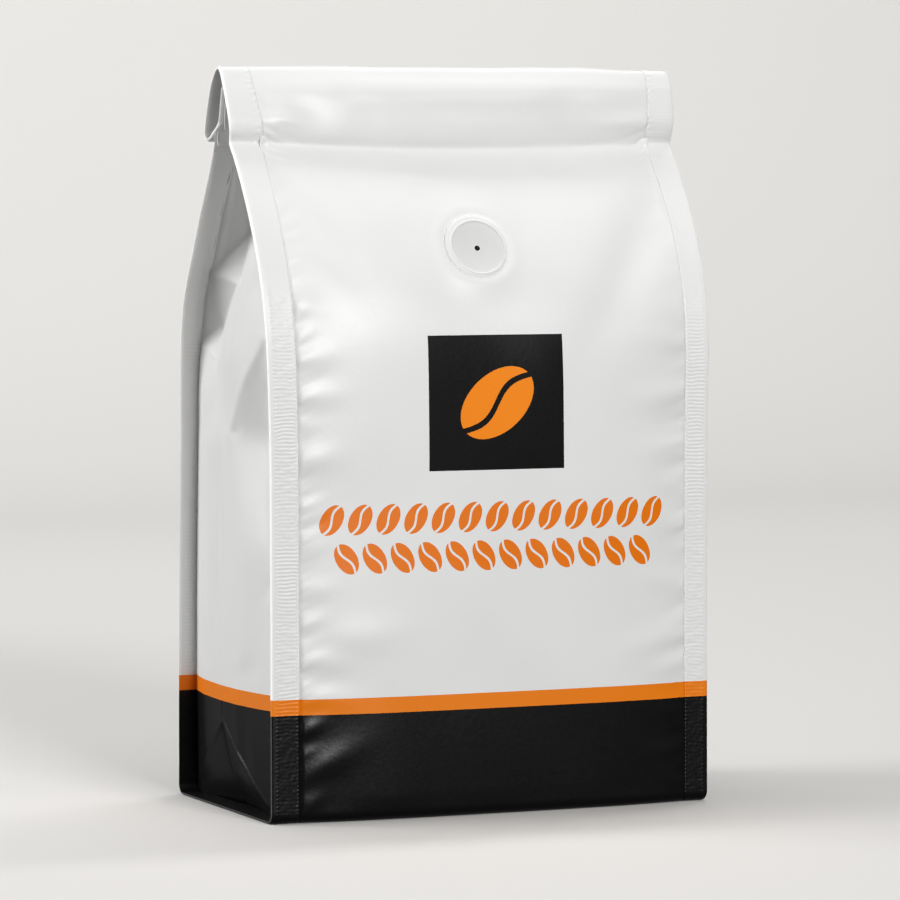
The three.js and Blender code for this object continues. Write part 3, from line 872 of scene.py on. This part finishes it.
def mouldedPlastic():
    material, tree, shader = newMaterial("moulded_valve_plastic")
    place = add(tree, "TexCoord", output="Object")
    centre = [valve[k] * mm for k in "xyz"]
    radius = add(tree, "VectorMath", (place, centre), output="Value", operation="DISTANCE")
    radius = add(tree, "Math", (radius, 1 / mm), operation="MULTIPLY")
    start, stop = valvePlastic["rim"]
    rim = add(tree, "MapRange", {"Value": radius, 1: start, 2: stop}, interpolation_type="SMOOTHSTEP")
    # the pinhole is painted near black: painted shade inside the hole
    holeShade = add(tree, "Math", (radius, valve["holeShade"]), operation="LESS_THAN")
    layers = [(rim, valvePlastic["rimTone"]), (holeShade, valvePlastic["holeShade"])]
    # the plate's darker tone is painted shade for the plate set down inside the rim
    tone = layered(tree, colour(valvePlastic["plate"]), layers)
    tree.links.new(tone, shader.inputs["Base Color"])
    speck = {"Vector": place, "Scale": 1 / (valvePlastic["speck"] * mm), "Detail": 2.0}
    speck = add(tree, "TexNoise", speck)
    low, high = valvePlastic["roughness"]
    rough = add(tree, "MapRange", {"Value": speck, 1: 0.3, 2: 0.7, 3: low, 4: high})
    tree.links.new(rough, shader.inputs["Roughness"])
    shader.inputs["Specular IOR Level"].default_value = valvePlastic["shine"]
    return material


laminate, plastic = printedFilm(), mouldedPlastic()
print("materials", laminate.name, plastic.name)
for piece in (frontPanel, backPanel, *seals, *gussets, *rollEnds):
    piece.data.materials.append(laminate)
    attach(piece, "root")
    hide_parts("pouch")
valvePiece.data.materials.append(plastic)
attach(valvePiece, "root")
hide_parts("degassing_valve")


# The stage, in metres: a pale floor that curves up into the backdrop.
floor = {
    "front": -1.6, "bend": 1.1, "radius": 0.9, "steps": 16, "top": 3.4, "width": 6.4, "paint": "#d7d5d2",
    "roughness": 0.75, "shine": 0.2,
}


def makeStage():
    form = bmesh.new()
    bend, radius, steps = floor["bend"], floor["radius"], floor["steps"]
    profile = [(floor["front"], 0.0), (bend, 0.0)]
    for i in range(1, steps + 1):
        a = i / steps * math.pi / 2
        profile.append((bend + radius * math.sin(a), radius - radius * math.cos(a)))
    profile.append((bend + radius, floor["top"]))
    line = [form.verts.new((-floor["width"] / 2, y, z)) for y, z in profile]
    edges = [form.edges.new(pair) for pair in zip(line, line[1:])]
    made = bmesh.ops.extrude_edge_only(form, edges=edges)["geom"]
    verts = [g for g in made if isinstance(g, bmesh.types.BMVert)]
    bmesh.ops.translate(form, vec=(floor["width"], 0, 0), verts=verts)
    bmesh.ops.recalc_face_normals(form, faces=form.faces)
    return makeObject("stage", form)


stage = makeStage()
stageMaterial, _, stageShader = newMaterial("pale_paint")  # dull paint that only carries the shadows
stageShader.inputs["Base Color"].default_value = colour(floor["paint"])
stageShader.inputs["Roughness"].default_value = floor["roughness"]
stageShader.inputs["Specular IOR Level"].default_value = floor["shine"]
stage.data.materials.append(stageMaterial)
stage.visible_diffuse = False
stage.visible_glossy = False


# A soft studio: each light's place, what it faces, its size in metres and its watts.
lights = {
    "front": ((0.1, -2.25, 0.88), (0, 0, 0.1), (0.76, 0.8), 46.5),
    "left": ((-1.5, 0.55, 0.65), (0, 0, 0.1), (1.0, 1.2), 26),
    "side": ((-1.7, -0.3, 0.7), (0, 0, 0.1), (1.0, 1.2), 3),
    "top": ((0, -1.1, 2.1), (0, 0, 0.1), (1.6, 1.0), 9.5),
    "backdrop": ((0.7, 0.7, 2.2), (0.7, 1.9, 0.6), (2.6, 0.6), 46),
}


def makeLight(name, place, aim, size, watts):
    data = bpy.data.lights.new(name, "AREA")
    data.shape = "RECTANGLE"
    data.size, data.size_y = size
    data.energy = watts
    light = bpy.data.objects.new(name, data)
    light.location = place
    light.rotation_euler = (Vector(aim) - Vector(place)).to_track_quat("-Z", "Y").to_euler()
    light.visible_camera = False
    bpy.context.scene.collection.objects.link(light)


for name, row in lights.items():
    makeLight(name, *row)
# A dim room, brighter behind the pouch: how the glow grows from front to back, and its strength.
dimRoom = {"front": -0.3, "back": 0.9, "low": 0.15, "high": 1.0, "strength": 0.135}
world = bpy.data.worlds.new("studio")
world.use_nodes = True
room = world.node_tree
heading = add(room, "TexCoord", output="Generated")
heading = add(room, "SeparateXYZ", (heading,), output="Y")
glow = {1: dimRoom["front"], 2: dimRoom["back"], 3: dimRoom["low"], 4: dimRoom["high"]}
glow = add(room, "MapRange", {"Value": heading, **glow})
room.links.new(glow, room.nodes["Background"].inputs["Color"])
room.nodes["Background"].inputs["Strength"].default_value = dimRoom["strength"]
bpy.context.scene.world = world
bpy.context.scene.view_settings.view_transform = "Standard"
print("studio", len(lights), "lights")

# The camera stands where the photograph was taken from: a long lens, turned and raised in degrees
# about its target in millimetres.
view = {
    "target": (2.62, 0, 100.13), "turn": 23.405, "rise": 3.29, "away": 1366.5, "lens": 190.4, "sensor": 36,
}
turn, rise = math.radians(view["turn"]), math.radians(view["rise"])
toCamera = Vector((-math.sin(turn) * math.cos(rise), -math.cos(turn) * math.cos(rise), math.sin(rise)))
cameraData = bpy.data.cameras.new("camera")
cameraData.lens = view["lens"]
cameraData.sensor_width = view["sensor"]
camera = bpy.data.objects.new("camera", cameraData)
camera.location = (Vector(view["target"]) + toCamera * view["away"]) * mm
camera.rotation_euler = (-toCamera).to_track_quat("-Z", "Y").to_euler()
bpy.context.scene.collection.objects.link(camera)
bpy.context.scene.camera = camera
print("camera", [round(c, 3) for c in camera.location])

bpy.context.view_layer.update()
